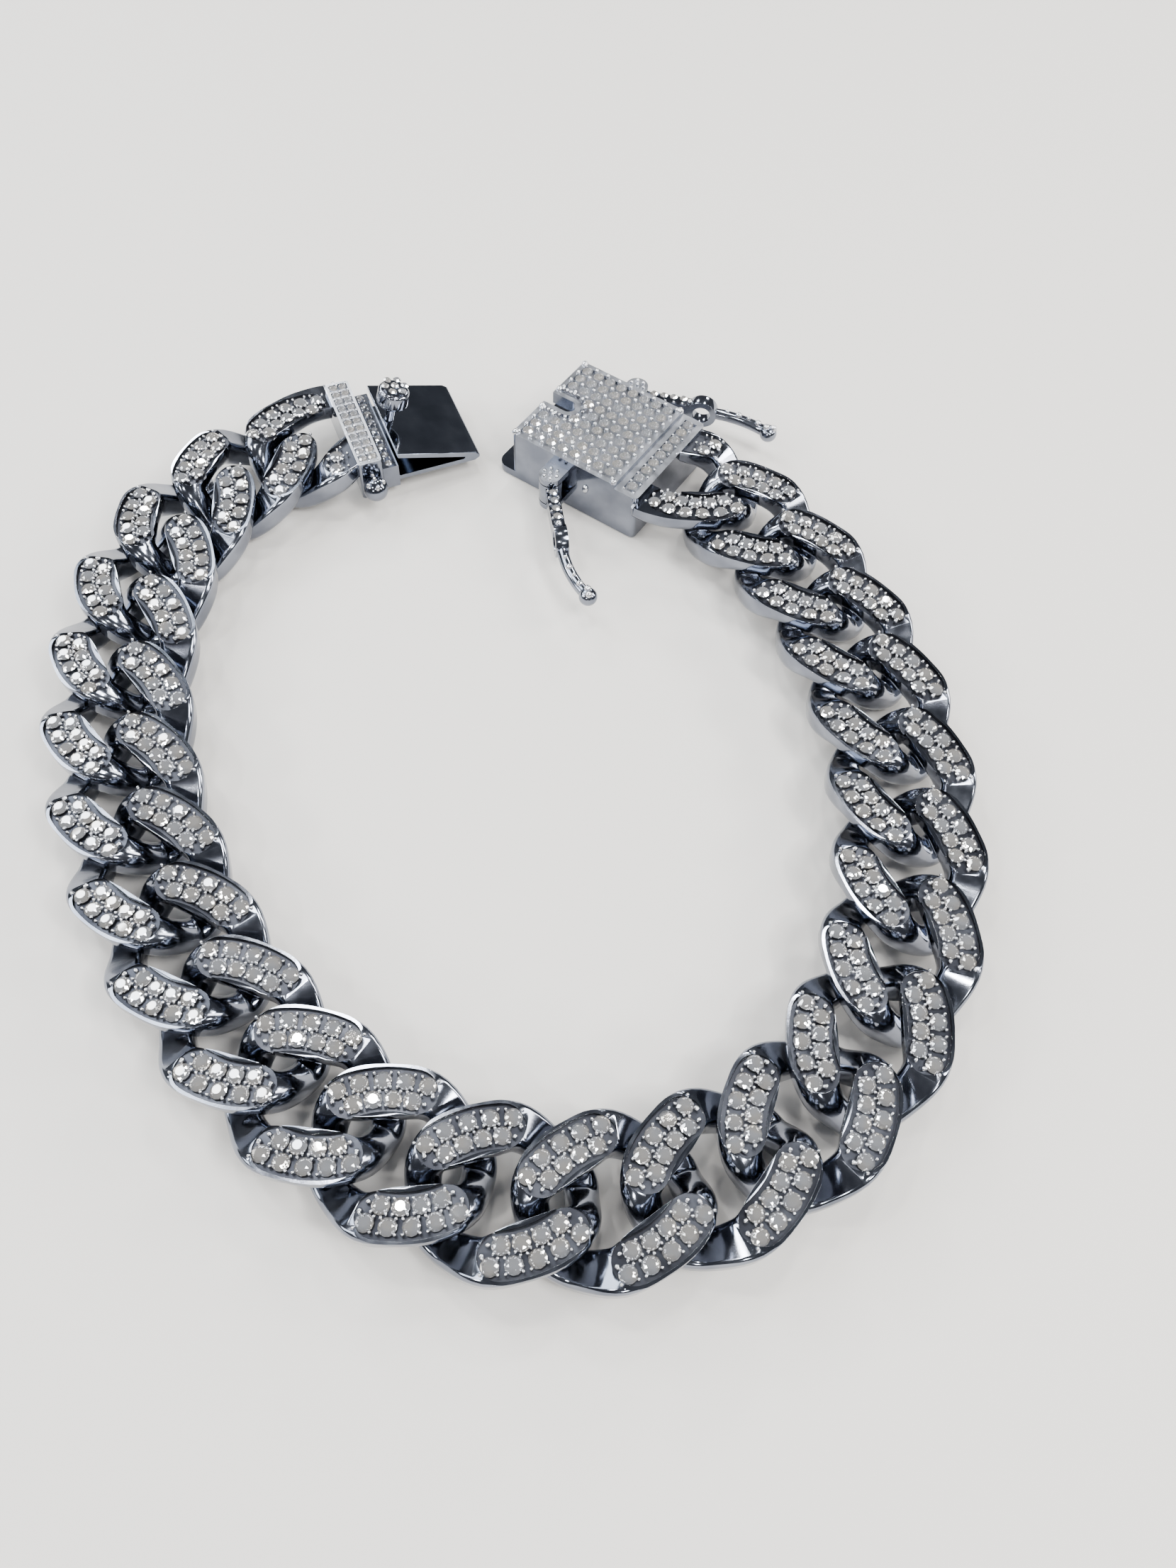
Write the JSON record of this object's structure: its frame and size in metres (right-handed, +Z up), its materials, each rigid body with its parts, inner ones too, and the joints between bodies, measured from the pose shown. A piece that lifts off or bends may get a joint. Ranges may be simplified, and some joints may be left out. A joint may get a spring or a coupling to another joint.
{
  "type": "curb link bracelet",
  "caption": "Flat curb link bracelet with stone-set links and a box clasp with two side latches, laid open in a loop.",
  "frame": {"origin": "on the table, under the middle of the bracelet's outline", "axes": "+Z up from the table; the clasp lies at the back (+Y), the tongue half at -X and the box half at +X"},
  "size_m": [0.0776, 0.0876, 0.0087],
  "materials": {
    "plated_metal": "mirror polished dark rhodium plate",
    "spring_steel": "dark mirror polished spring leaf",
    "stones": "clear faceted round stones"
  },
  "bodies": {
    "bracelet": {"link_01": "plated_metal", "link_02": "plated_metal", "link_03": "plated_metal", "link_04": "plated_metal", "link_05": "plated_metal", "link_06": "plated_metal", "link_07": "plated_metal", "link_08": "plated_metal", "link_09": "plated_metal", "link_10": "plated_metal", "link_11": "plated_metal", "link_12": "plated_metal", "link_13": "plated_metal", "link_14": "plated_metal", "link_15": "plated_metal", "link_16": "plated_metal", "link_17": "plated_metal", "link_18": "plated_metal", "link_19": "plated_metal", "link_20": "plated_metal", "link_21": "plated_metal", "link_22": "plated_metal", "link_23": "plated_metal", "clasp_box": "plated_metal", "tongue_bar": "plated_metal", "tongue_spring": "spring_steel", "thumb_button": "plated_metal", "box_stones": "stones", "box_bar_stones": "stones", "tongue_bar_stones": "stones", "button_stones": "stones"},
    "front_latch_arm": {"front_latch": "plated_metal", "front_latch_stones": "stones"},
    "back_latch_arm": {"back_latch": "plated_metal", "back_latch_stones": "stones"}
  },
  "joints": [
    {"name": "front_latch_hinge", "type": "hinge", "parent": "bracelet", "child": "front_latch_arm", "pos_m": [0.00304, 0.02879, 0.00267], "axis": [0, 0, 1], "range_deg": [-103, 32]},
    {"name": "back_latch_hinge", "type": "hinge", "parent": "bracelet", "child": "back_latch_arm", "pos_m": [0.01127, 0.04131, 0.00267], "axis": [0, 0, -1], "range_deg": [-158, 7]}
  ]
}
